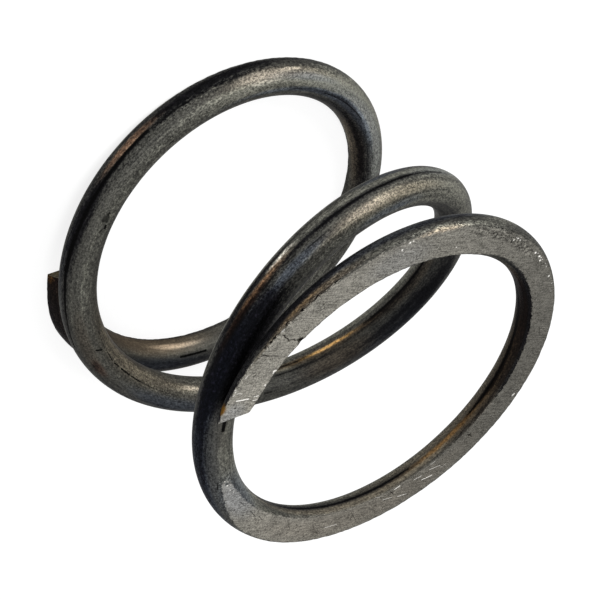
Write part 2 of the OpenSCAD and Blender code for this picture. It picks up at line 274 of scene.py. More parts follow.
# Bright dots on the ground faces: place in the part's plan and half width in millimetres, strength
DOTS = (
    (-15.4, -20.1, 0.16, 1.0), (-15.8, -20.3, 0.13, 0.9), (-16.1, -20.0, 0.17, 1.0), (-16.5, -19.6, 0.13, 0.9),
    (-16.5, -20.0, 0.11, 0.8), (-19.6, -16.3, 0.22, 1.0), (-20.0, -16.1, 0.12, 0.7), (-20.4, -15.4, 0.22, 1.0),
    (-20.7, -15.1, 0.15, 0.9), (-21.0, -14.7, 0.12, 0.7), (-20.7, -14.6, 0.2, 1.0), (-22.9, -11.1, 0.24, 0.8),
    (-21.7, -13.7, 0.12, 0.5), (-22.0, -13.1, 0.14, 0.6), (-23.7, -9.6, 0.14, 0.5), (-23.9, -8.2, 0.12, 0.4),
    (0.6, -26.0, 0.2, 1.0), (0.2, -26.1, 0.14, 0.9), (1.6, -25.3, 0.18, 0.9), (-6.5, -22.5, 0.12, 0.8),
    (-2.4, -22.0, 0.14, 0.9), (20.6, -15.8, 0.14, 0.7), (20.9, -15.1, 0.14, 0.7), (21.4, -14.4, 0.14, 0.7),
    (22.1, -11.6, 0.13, 0.8), (22.3, -11.2, 0.13, 0.8), (17.1, -12.8, 0.22, 1.0), (16.8, -12.7, 0.16, 0.9),
    (18.1, -11.0, 0.16, 0.9), (21.7, 4.0, 0.13, 0.7), (21.3, 4.9, 0.16, 0.8), (20.8, 5.9, 0.15, 0.7),
    (20.3, 6.5, 0.12, 0.6), (21.3, 3.8, 0.12, 0.7), (20.8, 5.0, 0.13, 0.6), (21.9, 3.2, 0.12, 0.6),
    (21.1, 3.4, 0.13, 0.5),
)
# Faint dark scores on the ground faces, as the scratches
SCORES = (
    (19.2, -16.4, 18.2, -15.8, 0.13, 1.0), (17.9, -15.7, 16.9, -15.2, 0.1, 0.7), (-4.6, 19.4, -5.2, 20.2, 0.1, 0.9),
    (-15.8, 14.0, -16.6, 14.8, 0.12, 0.9), (1.3, 20.3, 0.3, 22.4, 0.08, 0.7), (7.4, 20.6, 5.9, 22.1, 0.06, 0.5),
    (-23.6, -2.0, -23.9, -0.6, 0.1, 0.7), (-22.6, -6.5, -23.2, -6.9, 0.1, 0.6), (16.1, -18.4, 15.5, -17.9, 0.08, 0.6),
    (-8.0, -24.2, -9.6, -23.4, 0.07, 0.5), (12.0, -20.6, 11.4, -21.2, 0.1, 0.6), (17.4, 11.4, 16.6, 12.8, 0.08, 0.9),
    (16.0, 13.1, 15.4, 14.2, 0.08, 0.8), (11.4, 16.5, 10.8, 18.6, 0.07, 0.7), (7.2, 19.6, 6.7, 21.0, 0.07, 0.6),
    (19.2, 8.7, 18.5, 9.8, 0.07, 0.8),
)


def ease(x):
    """Goes softly from 0 to 1 as x does."""
    c = np.clip(x, 0, 1)
    return c * c * (3 - 2 * c)


def bell(x):
    """Falls softly from 1 at 0 to nearly nothing at 2."""
    return np.exp(-x ** 2)


def heading(angle):
    return np.array([math.cos(angle), math.sin(angle), 0.0])


def plan(t):
    """Middle of the wire in the plan at turns t, before the lean."""
    radius = COIL_R - DRAW_IN * bell((t - DRAW_TURN) / DRAW_WIDTH) - TUCK * ease(1 - t / TUCK_TURNS)
    a = 2 * math.pi * t
    around = np.stack([np.cos(a), np.sin(a), 0 * a], -1)
    shift = TOP_SHIFT * ease((t - SHIFT_FROM) / (SHIFT_TO - SHIFT_FROM))
    return radius[..., None] * around + shift[..., None] * heading(SHIFT_DIR)


def before_lean(t, z):
    """Height that the wire needs before the lean, to be at height z after it."""
    out = float(plan(np.array(t)) @ heading(LEAN_DIR))
    return (z + math.sin(LEAN) * out) / math.cos(LEAN)


START_Z = before_lean(0.0, BOTTOM_TIP - WIRE_R)
END_Z = before_lean(TURNS, FREE_LENGTH - TOP_TIP + WIRE_R)
PEAK_PITCH = (
    END_Z - START_Z - MIDDLE * (BOTTOM_PITCH + TOP_PITCH)
    + (BOTTOM_PITCH * BOTTOM_OPENING + TOP_PITCH * TOP_OPENING) / 2
) / ((BOTTOM_OPENING + TOP_OPENING) / 2)


def gained(x, pitch, width):
    """Height gained over x turns away from the middle, where the pitch falls to pitch over width turns."""
    y = np.minimum(x / width, 1)
    return pitch * x + (PEAK_PITCH - pitch) * width * (y / 2 + np.sin(math.pi * y) / (2 * math.pi))


def centre(t):
    """Middle of the wire at turns t, as it leans."""
    p = plan(t)
    middle_z = START_Z + gained(MIDDLE, BOTTOM_PITCH, BOTTOM_OPENING)
    z = np.where(
        t < MIDDLE,
        middle_z - gained(np.maximum(MIDDLE - t, 0), BOTTOM_PITCH, BOTTOM_OPENING),
        middle_z + gained(np.maximum(t - MIDDLE, 0), TOP_PITCH, TOP_OPENING),
    )
    out = p @ heading(LEAN_DIR)
    moved = out * (math.cos(LEAN) - 1) + z * math.sin(LEAN)
    p = p + moved[..., None] * heading(LEAN_DIR)
    p[..., 2] = z * math.cos(LEAN) - out * math.sin(LEAN)
    return p


def wire_frames(t):
    """Middle of the wire, its direction, and the level and rising axes of its section."""
    step = 0.001
    along = centre(t + step) - centre(t - step)
    along /= np.linalg.norm(along, axis=-1, keepdims=True)
    level = np.cross(along, [0.0, 0.0, 1.0])
    level /= np.linalg.norm(level, axis=-1, keepdims=True)
    return centre(t), along, level, np.cross(level, along)


def outline_centre():
    """Middle of the unground wire's outline, seen from above."""
    sections = np.linspace(0, TURNS, round(TURNS * SOURCE_SECTIONS) + 1)
    middle, _, level, up = wire_frames(sections)
    a = np.linspace(0, 2 * math.pi, SOURCE_SIDES, endpoint=False)[None, :, None]
    p = (middle[:, None] + WIRE_R * (np.cos(a) * level[:, None] + np.sin(a) * up[:, None])).reshape(-1, 3)
    return (p.min(0) + p.max(0)) / 2 * [1, 1, 0]


def half_chord(cut):
    """Half the width of a ground face that cuts the section at this height, both in wire radii."""
    return np.sqrt(np.clip(1 - cut ** 2, 0, 1))


def block_start(cut):
    """Angle at which a ring's flat block starts: the end of its ground chord, or a rest value away from it."""
    narrow = math.sin(NARROWEST)
    rest = WIDEST + (NARROWEST - WIDEST) * np.exp(-np.maximum(cut - narrow, 0) / RELAX)
    return np.where(cut < narrow, np.arcsin(np.clip(cut, -1, 1)), rest)


def section_angles(top, low):
    """Angles round every ring. Its two flat blocks keep the same places in the order of the points."""
    half_turn = math.pi
    corners = (top, half_turn - top, half_turn + low, 2 * half_turn - low, 2 * half_turn + top)
    parts = []
    for first, last, count in zip(corners, corners[1:], (ON_FLAT, ON_SIDE) * 2):
        s = np.arange(count) / count
        parts.append(first[:, None] + s * (last - first)[:, None])
    return np.concatenate(parts, 1)


def inside_edge(cut, x, elevation, on_face, start_fall):
    """How far a point is inside the edge of a ground face, in millimetres. Outside it the distance is negative."""
    r = WIRE_R / MM
    face_edge = np.arcsin(np.clip(cut, -1, 1))
    outside = -r * np.hypot(face_edge - elevation, start_fall * np.maximum(cut - 1, 0))
    return np.where(on_face, (half_chord(cut) - np.abs(x)) * r, outside)


# Every point of the skin by ring and side: its turn, its angle round the wire and its section coordinates. side is 1
# on the top face, -1 on the low one and 0 on the round wire
ring_t = np.concatenate([np.linspace(a, b, n, endpoint=b == TURNS) for a, b, n in RING_SPANS])
middle, along, level, up = wire_frames(ring_t)
dip = START_DIP * bell((ring_t - DIP_TURN) / DIP_WIDTH)
top_cut = (FREE_LENGTH - dip - middle[:, 2]) / (WIRE_R * up[:, 2])
low_cut = middle[:, 2] / (WIRE_R * up[:, 2])
angle = section_angles(block_start(top_cut), block_start(low_cut))
x, y = np.cos(angle), np.sin(angle)
side = np.zeros_like(angle)
for cut, first, sign in ((top_cut, 0, 1), (low_cut, ON_FLAT + ON_SIDE, -1)):
    chord = (cut < math.sin(NARROWEST))[:, None]
    block = slice(first, first + ON_FLAT + 1)
    s = np.linspace(1, -1, ON_FLAT + 1)[None]
    x[:, block] = np.where(chord, sign * half_chord(cut)[:, None] * s, x[:, block])
    y[:, block] = np.where(chord, sign * cut[:, None], y[:, block])
    y = np.where(sign * y > cut[:, None], sign * cut[:, None], y)
    side[:, block] = np.where(chord, sign, side[:, block])
elevation = np.arcsin(np.clip(np.sin(angle), -1, 1))
edge = np.maximum(
    inside_edge(top_cut[:, None], x, elevation, side > 0, TOP_START_FALL),
    inside_edge(low_cut[:, None], x, -elevation, side < 0, LOW_START_FALL),
)
degrees = np.degrees(angle)
length = np.concatenate([[0], np.cumsum(np.linalg.norm(np.diff(middle, axis=0), axis=1))]) / MM
across = np.stack([x * WIRE_R / MM, np.sin(angle) * WIRE_R / MM, np.broadcast_to(length[:, None], x.shape)], -1)


def fractal(p, octaves):
    return noise.fractal(p, ROUGHNESS, LACUNARITY, octaves)


def rough(along_waves, across_waves, octaves, seed=0.0):
    """Noise between about -1 and 1 over the points of the skin, in waves a millimetre along the wire and across."""
    scaled = [across[..., 0] * across_waves, across[..., 1] * across_waves, across[..., 2] * along_waves + seed]
    flat = [fractal(p, octaves) for p in np.stack(scaled, -1).reshape(-1, 3)]
    return np.array(flat).reshape(angle.shape)


# Angle round the wire, a little unsteady, so that no tint ends along a clean edge
unsteady_degrees = degrees + TINT_WANDER * rough(1.1, 1.1, octaves=3, seed=90)


def wrapped(a):
    """Angle in degrees between -180 and 180."""
    return (a + 180) % 360 - 180


def patches(places):
    """Sum of soft patches on the wire: turn, angle round it, half length in turns, half width in degrees, strength."""
    total = np.zeros_like(angle)
    for turn, round_it, half_length, half_width, strength in places:
        far = ((ring_t[:, None] - turn) / half_length) ** 2 + (wrapped(unsteady_degrees - round_it) / half_width) ** 2
        total += strength * bell(far)
    return total


def along_edge(places):
    """Sum of soft patches along the outer edge: turn, half length in turns, place inside it, half width, strength."""
    total = np.zeros_like(angle)
    for turn, half_length, inside, half_width, strength in places:
        far = ((ring_t[:, None] - turn) / half_length) ** 2 + ((edge - inside) / half_width) ** 2
        total += strength * bell(far) * (x > 0)
    return total


def lines(places):
    """Sum of thin lines along the wire: first and last turn, angle at each, half width in degrees, strength."""
    total = np.zeros_like(angle)
    for t0, t1, a0, a1, half_width, strength in places:
        s = (ring_t[:, None] - t0) / (t1 - t0)
        ends = ease(s * LINE_ENDS) * ease((1 - s) * LINE_ENDS)
        total += strength * ends * bell(wrapped(degrees - a0 - (a1 - a0) * s) / half_width)
    return total


def near(turn, place_across, half_length, half_width):
    """Soft mark of a place on the top face, 1 at its middle."""
    far = ((length[:, None] - np.interp(turn, ring_t, length)) / half_length) ** 2
    far = far + ((x - place_across) * WIRE_R / MM / half_width) ** 2
    return np.exp(-far) * (y > np.minimum(top_cut, 1)[:, None] - NEAR_FACE)


def crack_mark():
    """1 in the middle of the crack in the top face, 0 away from it."""
    mark = np.zeros_like(angle)
    here = np.stack(np.broadcast_arrays(length[:, None], x * WIRE_R / MM), -1)
    ends = [np.array([np.interp(t, ring_t, length), a * WIRE_R / MM]) for t, a in CRACK]
    for a, b in zip(ends, ends[1:]):
        s = np.clip(((here - a) @ (b - a)) / ((b - a) @ (b - a)), 0, 1)
        gap = np.linalg.norm(here - a - s[..., None] * (b - a), axis=-1)
        mark = np.maximum(mark, bell(gap / CRACK_WIDTH))
    return mark * (side > 0)


# Which way is out of the wire at each point: square to a ground face, or from the wire's middle, or between the two
radial = np.cos(angle)[..., None] * level[:, None] + np.sin(angle)[..., None] * up[:, None]
square = side[..., None] * np.array([0.0, 0.0, 1.0])
on_edge = (np.abs(edge) < EDGE_WIDTH)[..., None]
outward = np.where(side[..., None] == 0, radial, np.where(on_edge, radial + square, square))
outward /= np.linalg.norm(outward, axis=-1, keepdims=True)

# Everything is carved inwards, so that the spring stays in its box
crack = crack_mark()
dirty = np.zeros_like(angle)
for t0, t1, which, reach in DIRT:
    inside = ease((ring_t - t0) / DIRT_FADE) * ease((t1 - ring_t) / DIRT_FADE)
    dirty += reach * inside[:, None] * (x * which > 0) * (y > DIRT_LOWEST)
bevel = BEVEL * (dirty > 0) * (x < 0) * np.clip((dirty - np.abs(edge)) / BEVEL_WIDTH, 0, 1)
wear = np.clip(rough(1.3, 1.8, octaves=4, seed=40) * WEAR_GAIN + WEAR_BASE, 0, 1) * bell(edge / WEAR_WIDTH)
deeper = 1 + TEAR * bell((ring_t[:, None] - TEAR_TURN) / TEAR_WIDTH) * (x > 0)
ripple = np.clip(rough(0.35, 0.5, octaves=2) + RIPPLE_BASE, 0, 1)
depth = WEAR_DEPTH * deeper * wear + RIPPLE_DEPTH * ripple + CRACK_DEPTH * crack + bevel
shine = np.zeros_like(angle)
for *where, deep, bright in NICKS:
    mark = near(*where)
    depth = depth + deep * mark
    shine = shine + bright * mark

points = middle[:, None] + WIRE_R * (x[..., None] * level[:, None] + y[..., None] * up[:, None]) - outline_centre()
points = points - depth[..., None] * MM * outward

# The top tip is sheared a little askew, and its inner corner is cut off
from_inner = (x + TIP_HALF_CHORD) * WIRE_R / MM
askew = TIP_OUTER + (TIP_INNER - TIP_OUTER) * (TIP_HALF_CHORD - x) / (2 * TIP_HALF_CHORD)
back = askew + CHAMFER_ALONG * np.clip(1 - from_inner / CHAMFER_ACROSS, 0, 1)
back = back * ease((length - length[-1] + TIP_REACH) / TIP_REACH)[:, None]
level_way = along * [1, 1, 0]
level_way /= np.linalg.norm(level_way, axis=-1, keepdims=True)
points = points - back[..., None] * MM * level_way[:, None]


def cap(ring, way):
    """Points that close one end: ever smaller copies of its ring round their middle, dented like a sheared end."""
    rim = points[ring]
    inner = rim.mean(0)
    rows = [inner + (rim - inner) * (1 - k / CAP_STEPS) for k in range(1, CAP_STEPS)]
    inside = np.concatenate(rows + [inner[None]])
    dents = [abs(fractal(Vector(p) / MM * DENT_WAVES, 3)) for p in inside]
    return inside + way * along[ring] * (np.array(dents)[:, None] * DENT_DEPTH + END_HOLLOW) * MM


def wire_faces(rings, cap_size):
    """Faces of the skin and of the caps that close it. The cap at the far end is turned the other way round."""
    i, j = np.meshgrid(np.arange(rings - 1), np.arange(SIDES), indexing="ij")
    a, b = i * SIDES + j, i * SIDES + (j + 1) % SIDES
    on_skin = np.stack([a, a + SIDES, b + SIDES, b], -1).reshape(-1, 4).tolist()
    on_caps = []
    for number, first_ring in enumerate((0, rings - 1)):
        start = rings * SIDES + number * cap_size
        rows = [first_ring * SIDES] + [start + k * SIDES for k in range(CAP_STEPS - 1)]
        last = start + (CAP_STEPS - 1) * SIDES
        for k in range(SIDES):
            m = (k + 1) % SIDES
            closing = [[here + k, here + m, there + m, there + k] for here, there in zip(rows, rows[1:])]
            closing.append([rows[-1] + k, rows[-1] + m, last])
            on_caps += closing if number == 0 else [face[::-1] for face in closing]
    return on_skin, on_caps


def skin_fields():
    """What the material reads at each point of the skin, by name."""
    over_start = START_REACH * bell((ring_t[:, None] - REACH_TURN) / REACH_WIDTH) * (y > REACH_HEIGHT)
    fields = {
        "edge": edge - dirty * (side > 0) + over_start,
        # tone carries the painted highlights and painted shade of the bands along with the oxide's own tone
        "tone": patches(OXIDE_TONE_AND_HIGHLIGHT_BANDS) + patches(OXIDE_TONE_AND_SHADE_BANDS) + lines(DARK_LINES),
        "crack": crack,
        "nick": shine,
        "dirt_and_shade": np.interp(np.broadcast_to(ring_t[:, None], angle.shape), *zip(*FACE_DIRT_AND_SHADE)),
        "flecked": along_edge(FLECKED),
        "torn": along_edge(TORN),
    }
    for name, places in (("straw", STRAW), ("gold", GOLD), ("copper", COPPER), ("blue", BLUE), ("pale", PAINTED_HIGHLIGHTS),
                         ("rust", RUST), ("calm", CALM), ("frayed", FRAYED)):
        fields[name] = patches(places)
    return fields


def build_wire():
    rings = len(ring_t)
    skin = points.reshape(-1, 3)
    ends = np.concatenate([cap(0, 1), cap(rings - 1, -1)])
    on_skin, on_caps = wire_faces(rings, len(ends) // 2)
    mesh = bpy.data.meshes.new("spring_wire")
    mesh.from_pydata(np.concatenate([skin, ends]).tolist(), [], on_skin + on_caps)
    for name, values in skin_fields().items():
        data = mesh.attributes.new(name, "FLOAT", "POINT").data
        at_ends = np.full(len(ends), -1.0 if name == "edge" else 0.0)
        data.foreach_set("value", np.concatenate([values.ravel(), at_ends]))
    data = mesh.attributes.new("wire", "FLOAT_VECTOR", "POINT").data
    data.foreach_set("vector", np.concatenate([across.reshape(-1, 3), ends / MM]).ravel())
    mesh.polygons.foreach_set("material_index", [0] * len(on_skin) + [1] * len(on_caps))
    mesh.polygons.foreach_set("use_smooth", [True] * (len(on_skin) + len(on_caps)))
    mesh.update()
    mesh.set_sharp_from_angle(angle=SHARP_EDGE)
    piece = bpy.data.objects.new("spring_wire", mesh)
    bpy.context.scene.collection.objects.link(piece)
    return piece


HEAT_TINTS = (("straw", (1.46, 1.0, 0.62)), ("gold", (1.42, 0.96, 0.33)),
              ("copper", (1.62, 1.0, 0.80)), ("blue", (0.85, 0.97, 1.28)))
# Colours of the oxide from its darkest to its lightest, whose light end also stands for painted lit bands, of painted
# highlights, of specks in the oxide, of black marks that are partly painted shadow and dark reflection, and of rust
BLACKEST, BLACK = (0.0035, 0.0035, 0.004), (0.011, 0.011, 0.0115)
GREY, LIGHT_OXIDE_AND_LIT_BAND, PAINTED_HIGHLIGHT_COLOUR = (0.057, 0.056, 0.0495), (0.20, 0.198, 0.165), (0.80, 0.765, 0.66)
OXIDE_SPECK, BLACK_MARK_COLOUR = (0.016, 0.014, 0.018), (0.003, 0.003, 0.003)
RUST_ORANGE, RUST_OLIVE = (0.20, 0.080, 0.006), (0.085, 0.066, 0.014)
# Colours of the ground steel
STEEL_DARK, STEEL_LIGHT, PIT = (0.085, 0.081, 0.070), (0.46, 0.44, 0.385), (0.04, 0.037, 0.03)
GLINT, STEEL_HIGHLIGHT_COLOUR, SCRATCH, DARK_FACE_MARK_COLOUR = (0.75, 0.73, 0.68), (0.86, 0.83, 0.75), (0.95, 0.93, 0.88), (0.012, 0.010, 0.008)
# Tint of reflections at a glancing angle: on the oxide, in its dark marks, and on the ground steel
SHEEN, NO_SHEEN, GROUND_SHEEN = (0.42, 0.42, 0.43), (0.02, 0.02, 0.02), (0.6, 0.6, 0.6, 1)
# Height of the fine relief of the wire and of its ends, in metres
GRAIN_HEIGHT, END_HEIGHT = 0.00008, 0.0001
GRINDING_DIRECTION = math.radians(23)
# Colours of the sheared ends, and their waves a metre
END_DARK, END_LIGHT = (0.022, 0.018, 0.009), (0.13, 0.11, 0.062)
END_WAVES = (900, 900, 2500)
WHITE = (1, 1, 1, 1)
WORLD_LIGHT, BACKGROUND = 0.45, 1.0

# How far the dark marks swing, in millimetres, and the part of a stroke's or a spot's half width at full strength
MARK_SWING = 0.3
STROKE_CORE, SPOT_CORE = 0.4, 0.3

# Numbers of the colour sockets of a mix node, and of its colour output
MIX_A, MIX_B, MIX_RESULT = 6, 7, 2


class Shader:
    """Builds the nodes of a material or a world. A socket is given a number, a colour, or another node's output."""

    def __init__(self, owner):
        self.owner = owner
        owner.use_nodes = True
        self.tree = owner.node_tree
        self.tree.nodes.clear()

    def put(self, socket, value):
        if isinstance(value, bpy.types.NodeSocket):
            self.tree.links.new(value, socket)
        else:
            socket.default_value = value

    def node(self, kind, sockets=(), **settings):
        n = self.tree.nodes.new(kind)
        for key, value in settings.items():
            setattr(n, key, value)
        for key, value in dict(sockets).items():
            self.put(n.inputs[key], value)
        return n

    def math(self, operation, a, b=0.0, c=0.0, clamp=False):
        return self.node("ShaderNodeMath", {0: a, 1: b, 2: c}, operation=operation, use_clamp=clamp).outputs[0]

    def vector(self, operation, sockets, output=0):
        return self.node("ShaderNodeVectorMath", sockets, operation=operation).outputs[output]

    def stretched(self, vector, scale):
        return self.vector("MULTIPLY", {0: vector, 1: scale})

    def centred(self, waves, strength):
        """Noise moved so that it goes about as far below 0 as above it."""
        return self.math("MULTIPLY_ADD", waves, strength, -strength / 2)

    def blend(self, factor, a, b, how="MIX"):
        n = self.node("ShaderNodeMix", {0: factor}, data_type="RGBA", blend_type=how)
        for key, value in ((MIX_A, a), (MIX_B, b)):
            self.put(n.inputs[key], value if isinstance(value, bpy.types.NodeSocket) else (*value, 1))
        return n.outputs[MIX_RESULT]

    def spread(self, value, low, high, to_low=0.0, to_high=1.0):
        """Moves a value from one range to another, with soft ends. With clamp on, the renderer runs out of memory."""
        sockets = {0: value, 1: low, 2: high, 3: to_low, 4: to_high}
        return self.node("ShaderNodeMapRange", sockets, interpolation_type="SMOOTHSTEP", clamp=False).outputs[0]

    def field(self, name, output="Fac"):
        return self.node("ShaderNodeAttribute", attribute_name=name).outputs[output]

    def tinted(self, colour, tint):
        """The colour multiplied by a number or a tint."""
        if isinstance(tint, bpy.types.NodeSocket):
            tint = self.node("ShaderNodeCombineColor", {0: tint, 1: tint, 2: tint}).outputs[0]
        elif isinstance(tint, float):
            tint = (tint, tint, tint)
        return self.blend(1.0, colour, tint, "MULTIPLY")

    def heat_tints(self, colour, share=1.0):
        """The colour under the heat tints that the places on the wire have."""
        for name, tint in HEAT_TINTS:
            amount = self.math("MULTIPLY", self.field(name), share, clamp=True)
            colour = self.blend(amount, colour, self.tinted(colour, tint))
        return colour

    def noise(self, vector, detail=2.0, roughness=0.5, distortion=0.0):
        sockets = {"Vector": vector, "Scale": 1.0, "Detail": detail, "Roughness": roughness, "Distortion": distortion}
        return self.node("ShaderNodeTexNoise", sockets).outputs[0]

    def bump(self, height, distance, strength=1.0):
        sockets = {"Height": height, "Distance": distance, "Strength": strength}
        return self.node("ShaderNodeBump", sockets).outputs[0]

    def finish(self, surface, output="ShaderNodeOutputMaterial"):
        self.node(output, {0: surface})
        return self.owner


def along_wire(turn, round_it):
    """Place on the unrolled wire in millimetres: along it, and round it from the outside."""
    return float(np.interp(turn, ring_t, length)), math.radians(round_it) * WIRE_R / MM


def on_wire(s, wire):
    """The same place as nodes, a little unsteady. It runs round from -90 to 270 degrees."""
    part = s.node("ShaderNodeSeparateXYZ", {0: wire}).outputs
    round_it = s.math("WRAP", s.math("ARCTAN2", part[1], part[0]), 1.5 * math.pi, -0.5 * math.pi)
    round_it = s.math("MULTIPLY", round_it, WIRE_R / MM)
    straight = s.node("ShaderNodeCombineXYZ", {0: part[2], 1: round_it, 2: 0.0}).outputs[0]
    waves = s.node("ShaderNodeTexNoise", {"Vector": s.stretched(wire, (1.6, 1.6, 1.6)), "Detail": 3.0}).outputs[1]
    swing = s.vector("MULTIPLY_ADD", {
        0: waves, 1: (MARK_SWING, MARK_SWING, 0), 2: (-MARK_SWING / 2, -MARK_SWING / 2, 0)})
    return s.vector("ADD", {0: straight, 1: swing})


def strokes(s, place, rows):
    """Masks of short straight strokes, one by one: both ends, half width, strength."""
    for x0, y0, x1, y1, half_width, strength in rows:
        start, run = Vector((x0, y0, 0)), Vector((x1 - x0, y1 - y0, 0))
        off = s.vector("SUBTRACT", {0: place, 1: start})
        dot = s.vector("DOT_PRODUCT", {0: off, 1: run / run.length_squared}, output=1)
        share = s.math("MINIMUM", s.math("MAXIMUM", dot, 0.0), 1.0)
        gap = s.vector("DISTANCE", {0: off, 1: s.vector("SCALE", {0: run, "Scale": share})}, output=1)
        yield s.spread(gap, half_width, half_width * STROKE_CORE, 0.0, strength)


def spots(s, place, rows):
    """Masks of round spots, one by one: place, half width, strength."""
    for spot_x, spot_y, half_width, strength in rows:
        gap = s.vector("DISTANCE", {0: place, 1: (spot_x, spot_y, 0)}, output=1)
        yield s.spread(gap, half_width, half_width * SPOT_CORE, 0.0, strength)


def joined(s, masks):
    """All the masks as one. Each is joined before the next one is built, which spares the renderer's memory."""
    total = None
    for mask in masks:
        total = mask if total is None else s.math("MAXIMUM", total, mask)
    return total


def wire_material():
    s = Shader(bpy.data.materials.new("spring_steel_wire"))
    wire = s.field("wire", "Vector")
    place = s.stretched(s.node("ShaderNodeTexCoord").outputs["Object"], (1 / MM, 1 / MM, 1 / MM))
    flecked = s.field("flecked")
    nick = s.field("nick")

    # Drawn wire under its oxide: tone by place, which holds painted highlights and painted shade besides the oxide's
    # own tone, long streaks along it, a grain that breaks both up, and dark marks, some of them painted shadow and
    # dark reflection
    broad = s.noise(s.stretched(wire, (0.5, 0.5, 0.035)), detail=3)
    streak = s.noise(s.stretched(wire, (2.2, 2.2, 0.06)), detail=5, roughness=0.62)
    thread = s.noise(s.stretched(wire, (5.0, 5.0, 0.6)), detail=3, roughness=0.7)
    grain = s.noise(s.stretched(wire, (4.4, 4.4, 3.2)), detail=3, roughness=0.85)
    mottle = s.noise(s.stretched(wire, (1.5, 1.5, 0.5)), detail=4, roughness=0.75)
    hue = s.noise(s.stretched(wire, (3.0, 3.0, 1.6)), detail=4, roughness=0.85)
    blotch = s.noise(s.stretched(wire, (2.8, 2.8, 2.4)), detail=3, roughness=0.8)
    rest = s.math("SUBTRACT", 1.0, s.field("calm"))
    grain, blotch, streak = (
        s.math("MULTIPLY_ADD", s.math("SUBTRACT", waves, 0.5), rest, 0.5) for waves in (grain, blotch, streak))
    tone = s.field("tone")
    for waves, strength in ((broad, 1.0), (streak, 1.5), (thread, 1.0), (mottle, 0.8), (grain, 2.0)):
        tone = s.math("ADD", tone, s.centred(waves, strength))
    frayed = s.field("frayed")
    tone = s.math("ADD", tone, s.math("MULTIPLY", frayed, s.centred(blotch, 4.0)))
    unrolled = on_wire(s, wire)
    marks = joined(s, strokes(s, unrolled, [
        (*along_wire(t0, a0), *along_wire(t1, a1), *look) for t0, a0, t1, a1, *look in MARKS]))
    # The tone sets the colour from black through grey to light oxide: its dark end is partly painted shade, its light
    # end partly painted lit bands
    body = s.blend(s.spread(tone, -1.4, -0.5), BLACKEST, BLACK)
    body = s.blend(s.spread(tone, -0.9, 0.1), body, GREY)
    body = s.blend(s.spread(tone, 0.0, 1.2), body, LIGHT_OXIDE_AND_LIT_BAND)
    # The "pale" field is painted highlight: it lifts the oxide towards a pale colour where light catches the wire
    painted_highlight = s.math("MULTIPLY", s.field("pale"), s.spread(grain, 0.32, 0.62, 0.45, 1.3), clamp=True)
    body = s.blend(painted_highlight, body, PAINTED_HIGHLIGHT_COLOUR)
    body = s.tinted(body, s.spread(grain, 0.34, 0.66, 0.5, 1.6))
    body = s.tinted(body, s.blend(s.spread(hue, 0.38, 0.62), (1.09, 1.0, 0.86), (0.96, 1.0, 1.03)))
    body = s.blend(s.spread(blotch, 0.52, 0.72), body, OXIDE_SPECK, "LIGHTEN")
    rust = s.math("MULTIPLY", s.field("rust"), s.spread(grain, 0.3, 0.6, 0.5, 1.1), clamp=True)
    rust_colour = s.blend(s.spread(hue, 0.4, 0.6), RUST_ORANGE, RUST_OLIVE)
    body = s.blend(rust, body, rust_colour)
    # Flecks on the oxide, brighter on average: partly painted highlight on the rounded shoulder
    body = s.blend(flecked, body, s.tinted(body, s.spread(grain, 0.38, 0.62, 0.7, 2.8)))
    body = s.heat_tints(body)
    broken = s.spread(s.math("MULTIPLY_ADD", nick, 0.12, blotch), 0.52, 0.38)
    dark_nicks = s.math("MULTIPLY", s.spread(nick, -0.15, -0.7), broken)
    marks = s.math("MAXIMUM", dark_nicks, s.math("MULTIPLY", marks, s.spread(grain, 0.3, 0.5, 0.5, 1.0)))
    # Black marks: real marks, dark nicks, painted dark reflection lines along the wire and the painted shadow under
    # the top tip
    body = s.blend(marks, body, BLACK_MARK_COLOUR)
    relief = s.math("ADD", s.math("MULTIPLY", streak, 0.5), s.math("MULTIPLY", grain, 0.5))
    oxide = s.node("ShaderNodeBsdfPrincipled", {
        "Base Color": body, "Metallic": 0.85, "Roughness": s.math("MULTIPLY_ADD", grain, 0.3, 0.34),
        "Normal": s.bump(relief, GRAIN_HEIGHT, s.math("MULTIPLY_ADD", frayed, 1.5, 1.0)),
        "Specular Tint": s.blend(marks, SHEEN, NO_SHEEN), "Specular IOR Level": 0.25,
    }).outputs[0]

    # Ground steel: fine speckle, slanted grinding scratches, dirt and painted shade that darken it by place, and its
    # marks
    flat = s.node("ShaderNodeMapping", {"Vector": place, "Rotation": (0, 0, GRINDING_DIRECTION)}).outputs[0]
    scratch = s.noise(s.stretched(flat, (0.55, 5.5, 1)), detail=3, roughness=0.65, distortion=0.4)
    fleck = s.noise(s.stretched(place, (4.6, 4.6, 4.6)), detail=3, roughness=0.8)
    cloud = s.noise(s.stretched(place, (0.4, 0.4, 0.4)), detail=4)
    pits = s.noise(s.stretched(place, (3.2, 3.2, 3.2)), detail=2, roughness=0.6)
    glints = s.noise(s.stretched(flat, (3.0, 6.5, 3.0)), detail=2, roughness=0.6)
    shade = s.math("MULTIPLY_ADD", fleck, 0.62, s.math("MULTIPLY", scratch, 0.38))
    shade = s.math("ADD", shade, s.centred(cloud, 0.14))
    bare = s.blend(s.spread(shade, 0.33, 0.67), STEEL_DARK, STEEL_LIGHT)
    # Darkened by turn: partly dirt, partly painted shade
    bare = s.blend(s.math("MULTIPLY", s.field("dirt_and_shade"), 0.78), bare, s.tinted(bare, 0.16))
    bare = s.blend(s.spread(pits, 0.59, 0.69, 0.0, 0.8), bare, PIT)
    bare = s.blend(s.spread(glints, 0.66, 0.74, 0.0, 0.6), bare, GLINT)
    bare = s.blend(flecked, bare, s.tinted(bare, s.spread(blotch, 0.42, 0.58, 0.22, 1.3)))
